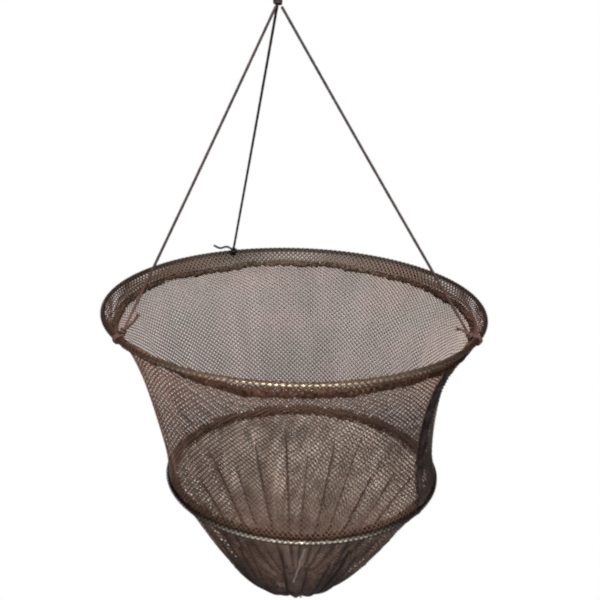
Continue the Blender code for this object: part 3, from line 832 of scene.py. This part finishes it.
def seam_band(name, skin, first, last, turns, half_width, half_depth, finish):
    """A bunched band down a skin, at angles given for some shares of the way down. Its section is a flat
    ellipse with five ribs on each face, and sums of sines make it swell, thin and wander."""
    sides = 30
    share = np.linspace(first, last, 170)
    wander = 0.004 * np.sin(19 * share + 1) + 0.003 * np.sin(43 * share)
    angle = np.interp(share, *turns) + wander
    points = skin(angle, share)
    outward = unit(np.cross(skin(angle, share + 1e-3) - points, skin(angle + 1e-3, share) - points))
    way = even_turn(sides)
    ribs = 1 + 0.16 * np.cos(10 * way) * np.abs(np.sin(way))
    swell = 1 + 0.10 * np.sin(71 * share + 1) + 0.07 * np.sin(133 * share)
    reach = flat_reach(half_width, half_depth, sides) * ribs * (swell * seam_width(share))[:, None]
    return put_mesh(name, tube(points + outward * (half_depth - seam_sunk), outward, reach, sides), finish)


def edge_whipping(name, skin, first, last, turns, half_width, half_depth, finish):
    """Two cords wound along the edges of a band. Each line is the edge plus a small circle in the outward and
    sideways directions, turned once for each stitch's pitch."""
    grids = []
    share = np.linspace(first, last, 640)
    angle = np.interp(share, *turns)
    narrowed = (half_width * seam_width(share))[:, None]
    for way in (-1, 1):
        centre = skin(angle, share)
        around = unit(skin(angle + 1e-3, share) - centre)
        outward = unit(np.cross(skin(angle, share + 1e-3) - centre, around))
        middle = centre + outward * (half_depth - seam_sunk) + around * way * narrowed * 0.85
        length = np.linalg.norm(np.diff(middle, axis=0), axis=1).sum()
        turn = (full_turn * length / stitch_pitch * (share - first) / (last - first))[:, None]
        away = np.cos(turn) * outward + np.sin(turn) * around
        grids.append(tube(middle + (half_depth - 0.0008) * away, away, stitch_radius, 5))
    return put_mesh(name, np.concatenate(grids), finish)


# Painted shade, in part: the seam twine is much darker than the netting's.
seam_twine = twine_finish(
    "seam_twine", (0.030, 0.018, 0.016), (0.084, 0.048, 0.042), (0.012, 0.007, 0.006),
    pitch=0.003, strands=3, drift=60, bump_depth=0.0003,
)
streaks(seam_twine, (230, 230, 200), (0.50, 0.50, 0.50), (1.15, 1.15, 1.15))
side_turns = ((0, 0.5, 0.75, 1), seam_angle + np.array((0, -0.006, -0.022, -0.050)))
bag_turns = ((0, 1), seam_angle + np.array((-0.050, -0.050)))
for name, skin, first, last, turns, half_width, half_depth, carrier, joint, anchor, keep in (
    ("side_seam", side_skin, 0.004, 0.99, side_turns, 0.0140, 0.0036, "upper_ring", "lower_hoop_lift",
     side_anchor, side_keep),
    ("bag_seam", bag_skin, 0.01, 0.97, bag_turns, 0.0095, 0.0022, "lower_ring", "bag_lift",
     bag_anchor, bag_keep),
):
    band = seam_band(name + "_band", skin, first, last, turns, half_width, half_depth, seam_twine)
    cords = edge_whipping(name + "_whipping", skin, first + 0.01, last - 0.01, turns, half_width, half_depth,
                          seam_twine)
    for piece in (band, cords):
        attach(piece, carrier)
        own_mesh(piece)
    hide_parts(name)


# Pale fold of the bag
# One small fold of the bag's netting stands up at the front. It is the same twine bunched on itself, but
# painted pale as a highlight, where the fold would catch the light.
# Painted highlight: a pale copy of the bag's twine.
painted_highlight_twine = twine_finish(
    "painted_highlight_twine", (0.22, 0.18, 0.155), (0.30, 0.25, 0.21), (0.15, 0.12, 0.105),
    pitch=0.003, strands=2, drift=30, bump_depth=0.0002,
)
highlight_turns = ((0, 0.6), np.radians((-88, -93)))
painted_highlight_fold = seam_band("bag_highlight_fold", bag_skin, first=0.07, last=0.56, turns=highlight_turns,
                      half_width=0.0012, half_depth=0.0010, finish=painted_highlight_twine)
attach(painted_highlight_fold, "lower_ring")
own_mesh(painted_highlight_fold)


# Gathered end and its tie
# The cut end of the bag is drawn together in folds, tied twice round with thin cord and left as a short tuft
# under the tie.
end_centre = np.array((0.050, 0.0, -1.0453))


def gathered_surface(count):
    """A turned shape with folds. The section follows smooth knots, each a radius, a height and a fold share.
    The radius is times one plus the fold share times the cosine of sixteen turns with some drift and a finer
    wave."""
    knots = np.array((
        (0.0004, -0.0006, 0), (0.004, -0.0006, 0.3), (0.012, 0.0016, 0.5), (0.024, 0.0052, 0.7),
        (0.0335, 0.0078, 0.6), (0.0375, 0.0080, 0.4), (0.0362, 0.0050, 0.6), (0.028, 0.0016, 1.2),
        (0.017, -0.0016, 1.4), (0.0095, -0.0046, 1.3), (0.0068, -0.0072, 0.8), (0.0060, -0.0110, 0.6),
        (0.0058, -0.0160, 0.6), (0.0062, -0.0190, 0.9), (0.0068, -0.0225, 1.6), (0.0064, -0.0255, 2.2),
        (0.0046, -0.0278, 2.0), (0.0024, -0.0276, 1.0), (0.0004, -0.0268, 0),
    ))
    at = np.linspace(0, len(knots) - 1, 110)
    radius, height, fold = (np.interp(at, np.arange(len(knots)), knots[:, i]) for i in range(3))
    soft = np.array((0.25, 0.5, 0.25))
    for values in (radius, height, fold):
        values[1:-1] = np.convolve(values, soft, "valid")
    turn = even_turn(count)
    wave = np.cos(16 * turn + 0.9 * np.sin(3 * turn)) + 0.4 * np.cos(27 * turn + 1.1)
    reach = radius[:, None] * (1 + 0.085 * fold[:, None] * wave[None, :])
    x = end_centre[0] + reach * np.cos(turn)
    y = end_centre[1] + reach * np.sin(turn)
    lift = (0.0015 + 0.0045 * np.cos(turn)) * reach / gather_reach
    z = end_centre[2] + height[:, None] + 0.0006 * fold[:, None] * wave + lift
    return np.stack([x, y, z], -1)[None]


# Painted shade: the gathered end's twine is much darker than the bag's, as shade in its dense folds.
gathered_twine = twine_finish(
    "gathered_twine", (0.020, 0.013, 0.011), (0.080, 0.044, 0.034), (0.015, 0.009, 0.007),
    pitch=0.005, strands=2, drift=26, bump_depth=0.0002,
)
streaks(gathered_twine, (70, 70, 20), (0.45, 0.42, 0.42), (1.0, 1.0, 1.0))
gathered = put_mesh("gathered_folds", gathered_surface(count=160)[:, :, ::-1], gathered_twine)
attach(gathered, "bag_end")
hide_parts("gathered_end")


def lay(points, spacing):
    """Reads a smooth curve through points at even steps: each span is a cubic whose slope at a point is half
    the way between its neighbours."""
    points = np.asarray(points, float)
    ends = np.concatenate([2 * points[:1] - points[1:2], points, 2 * points[-1:] - points[-2:-1]])
    before, start, finish, after = (ends[i:len(ends) - 3 + i, None] for i in range(4))
    t = np.linspace(0, 1, 24, endpoint=False)[None, :, None]
    spans = (2 * start + (finish - before) * t + (2 * before - 5 * start + 4 * finish - after) * t**2
             + (3 * start - before - 3 * finish + after) * t**3) / 2
    curve = np.concatenate([spans.reshape(-1, 3), points[-1:]])
    lengths = lengths_along(curve)
    count = max(2, int(round(lengths[-1] / spacing)))
    wanted = np.linspace(0, lengths[-1], count + 1)
    return np.stack([np.interp(wanted, lengths, curve[:, i]) for i in range(3)], -1)


def carried_normals(points, first):
    """A direction square to the path at each point, turned as little as possible from point to point."""
    ahead = unit(np.gradient(points, axis=0))
    normals = [np.asarray(first, float)]
    for way in ahead:
        last = normals[-1] - way * np.dot(normals[-1], way)
        normals.append(last / np.linalg.norm(last))
    return np.array(normals[1:])


def rope(name, points, thickness, pitch, finish, taper=0.0):
    """A three-strand twisted cord along a path. The reach is the radius less a groove: the size of the sine
    of one and a half times the way round, counted from a mark that turns once in each pitch."""
    sides = 12
    points = lay(points, thickness * 0.28)
    normals = carried_normals(points, (0.31, 0.22, 0.92))
    lengths = lengths_along(points)
    way = even_turn(sides)[None, :]
    crown = np.abs(np.sin(1.5 * (way - full_turn * lengths[:, None] / pitch)))
    swell = 1 + 0.03 * np.sin(lengths[:, None] * 310) + 0.02 * np.sin(lengths[:, None] * 770 + 1)
    ends = np.clip(np.minimum(lengths, lengths[-1] - lengths) / thickness + 1 - taper, 0.3, 1)
    reach = thickness / 2 * (0.90 + 0.20 * crown**0.8) * swell * ends[:, None]
    return put_mesh(name, tube(points, normals, reach, sides), finish), points


tie_thickness = 0.0022
tie_pitch = 0.007
tie_reach = 0.0082
tie_turn = np.linspace(0, 2 * full_turn, 49)[:, None]
tie_wound = end_centre + np.concatenate([
    tie_reach * np.sin(tie_turn), -tie_reach * np.cos(tie_turn), -0.0094 - 0.0028 * tie_turn / full_turn
], axis=1)
tie_route = np.concatenate([
    tie_wound[0] + np.array((-0.012, -0.0011, -0.0011)) * np.array((1.0, 0.65, 0.3))[:, None],
    tie_wound,
    tie_wound[-1] + np.array((0.010, -0.0011, -0.008)) * np.array((0.3, 0.65, 1.0))[:, None],
])
tie, _ = rope("bag_tie", tie_route, tie_thickness, tie_pitch, crease_twine, taper=0.3)
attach(tie, "bag_end")
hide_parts("gather_tie")


# Bridle legs
# Three legs of 4 mm three-strand cord run from the upper hoop to one knot. They hang taut, so each is almost
# straight, and their brown is greyer at the top and redder near the net.
cord_thickness = 0.0040
cord_radius = cord_thickness / 2
cord_pitch = 0.012
apex = np.array((0.0, 0.0, -0.0613))
wrap_reach = 0.0052
turn_pitch = 0.0046
leg_start = 0.0043
leg_sag = 0.002


def leg_places(angle):
    """The rod's middle where a leg is tied, the outward direction, the way its turns move on, its foot, its
    head and the angle of its first touch: the leg's own slope in the rod's section plus a quarter turn."""
    outward = np.array((math.cos(angle), math.sin(angle), 0.0))
    along = np.array((-math.sin(angle), math.cos(angle), 0.0))
    rod = upper_centre + outward * upper_radius
    along = along * math.copysign(1, float(np.dot(rod - apex, along)))
    lean = apex - rod
    first = math.atan2(lean[2], float(np.dot(lean, outward))) + math.pi / 2
    foot = rod + wrap_reach * (math.cos(first) * outward + math.sin(first) * upright)
    spread = np.array((foot[0] - apex[0], foot[1] - apex[1], 0.0))
    drop = 0.0003 + cord_radius * np.linalg.norm(spread) / np.linalg.norm(foot - apex)
    aside = 0.0064 if math.cos(angle) > 0.5 else 0.0032
    return rod, outward, along, foot, apex - upright * drop + unit(spread) * aside, first


leg_cord = twine_finish(
    "leg_cord", (0.013, 0.010, 0.009), (0.026, 0.014, 0.012), (0.006, 0.004, 0.003),
    pitch=cord_pitch, strands=3, drift=12, bump_depth=0.0003,
)
tint_along(leg_cord, "Z", -0.42, -0.49, (2.6, 1.7, 1.5))
back_cord = twine_finish(
    "back_cord", (0.012, 0.011, 0.011), (0.022, 0.016, 0.015), (0.005, 0.004, 0.004),
    pitch=cord_pitch, strands=3, drift=12, bump_depth=0.0003,
)
leg_angles = {"left": math.radians(211), "back": math.radians(113.2), "right": math.radians(333.5)}
for side, angle in leg_angles.items():
    _, _, _, foot, head, _ = leg_places(angle)
    low_end = foot + unit(head - foot) * leg_start
    share = np.linspace(0, 1, 36)[:, None]
    route = low_end + (head - low_end) * share - upright * leg_sag * np.sin(math.pi * share)
    finish = back_cord if side == "back" else leg_cord
    leg, line = rope(f"leg_{side}", route, cord_thickness, cord_pitch, finish)
    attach(leg, "bridle")
    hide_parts(f"bridle_leg_{side}")
    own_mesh(leg)


# Hitches on the upper hoop
# Each leg passes twice round the hoop through slits between the meshes, is hitched round itself, and ends in
# a short loose tail. The cut tails of the front two have frayed.
hitch_thickness = cord_thickness * 0.95
hitch_start = 0.008
hitch_rise = 0.004
fray_fibres = 26
fray_length = 0.0070
fray_radius = 0.00045
hitch_cord = twine_finish(
    "hitch_cord", (0.030, 0.015, 0.012), (0.060, 0.026, 0.020), (0.012, 0.006, 0.005),
    pitch=cord_pitch, strands=3, drift=40, bump_depth=0.0003,
)
hitch_turns = {"left": 2.0, "back": 1.5, "right": 1.5}
hitch_coils = {"left": 0.80, "back": 0.60, "right": 0.80}
hitch_tails = {
    "left": ((0.006, 0.001, 0.006), (0.012, 0.003, 0.012), (0.017, 0.004, 0.019)),
    "back": ((-0.010, 0.002, 0.004), (-0.022, 0.002, 0.001), (-0.034, 0.002, 0.006)),
    "right": ((-0.004, 0.001, 0.004), (-0.009, 0.002, 0.007), (-0.014, 0.002, 0.008)),
}


def frayed(tip, way, fibres, length, thickness):
    """Loose fibres at a cord's end. Each leaves along the way and bends aside with the distance to the power
    1.6, towards a direction that steps by 2.4 radians from fibre to fibre, and it thins to a fifth."""
    share = np.linspace(0, 1, 8)[:, None]
    over = unit(np.cross(way, (0.3, 0.8, 0.1)))
    beside = np.cross(way, over)
    grids = []
    for which in range(fibres):
        lean = 0.12 + 0.50 * (which / fibres) ** 0.5
        reach = length * (0.75 + 0.25 * math.cos(5.1 * which))
        aside = math.cos(2.4 * which) * over + math.sin(2.4 * which) * beside
        points = tip + aside * thickness * 0.25 + way * reach * share + aside * lean * reach * share**1.6
        grids.append(tube(points, np.tile(over, (8, 1)), fray_radius * (1 - 0.8 * share), 5))
    return grids


fray_grids = []
for side, angle in leg_angles.items():
    rod, outward, along, foot, head, first = leg_places(angle)
    leg_way = unit(head - foot)
    beside = unit(along - leg_way * np.dot(along, leg_way))
    across = np.cross(leg_way, beside)
    turn = np.linspace(0, 2 * full_turn - (first - math.radians(100)), 34)[:, None]
    wound = rod + wrap_reach * (np.cos(first + turn) * outward + np.sin(first + turn) * upright)
    wound = wound + along * turn_pitch * turn / full_turn
    turn = np.linspace(0, full_turn * hitch_turns[side], int(20 * hitch_turns[side]))[:, None]
    hitched = foot + leg_way * (hitch_start + turn_pitch * turn / full_turn)
    hitched = hitched + turn_pitch * hitch_coils[side] * (np.cos(turn) * beside + np.sin(turn) * across)
    tail = hitched[-1] + np.array(hitch_tails[side])
    route = np.concatenate([(foot + leg_way * hitch_rise)[None], wound, hitched, tail])
    finish = back_cord if side == "back" else hitch_cord
    hitch, line = rope(f"hitch_knot_{side}", route, hitch_thickness, cord_pitch, finish, taper=0.1)
    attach(hitch, "upper_ring")
    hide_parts(f"hitch_{side}")
    if side != "back":
        way = unit(line[-1] - line[-4])
        fray_grids += frayed(line[-2], way, fray_fibres, fray_length, cord_thickness)
frays = put_mesh("frayed_tails", np.concatenate(fray_grids), hitch_cord)
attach(frays, "upper_ring")


# Bridle knot and hanging loop
# The three legs and a loop of the same cord are bound together: a core of cords under four close turns. The
# whole net hangs from the loop.
core_length = 0.015
core_radius = 0.0046
core_sides = 24
core_steps = 40
core_turn = even_turn(core_sides)[None, :]
core_share = np.linspace(0, 1, core_steps)[:, None]
core_reach = core_radius * (0.82 + 0.22 * np.sin(math.pi * core_share)) * (
    1 + 0.10 * np.cos(3 * core_turn - full_turn * core_share)
)
core_points = apex + upright * core_length * core_share
core_outward = np.tile(np.array((1.0, 0.0, 0.0)), (core_steps, 1))
core = put_mesh("knot_core", tube(core_points, core_outward, core_reach, core_sides), leg_cord)
bind_radius = 0.0047
bind_bulge = 0.0003
bind_turn = np.linspace(0, 3.4 * full_turn, 70)[:, None]
bind_share = bind_turn / bind_turn[-1]
bind_reach = bind_radius + bind_bulge * np.sin(math.pi * bind_share)
bind_route = apex + np.concatenate([
    bind_reach * np.cos(bind_turn), bind_reach * np.sin(bind_turn), 0.0022 + 0.0108 * bind_share
], axis=1)
binding, _ = rope("knot_binding", bind_route, cord_thickness, cord_pitch, leg_cord, taper=0.3)
for piece in (core, binding):
    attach(piece, "bridle")
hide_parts("bridle_knot")

loop_half_width = 0.013
loop_depth = 0.046
half_loop = np.array([
    (loop_half_width * across_share, 0, -loop_depth * (1 - up_share) + cord_radius * up_share)
    for across_share, up_share in ((0.18, 0), (0.19, 0.08), (0.5, 0.32), (0.95, 0.62), (0.8, 0.9), (0, 1))
])
loop_route = np.concatenate([half_loop, (half_loop * np.array((-1, 1, 1)))[::-1][1:]])
loop, line = rope("hang_loop", loop_route, cord_thickness, cord_pitch, leg_cord)
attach(loop, "bridle")
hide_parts("hanging_loop")
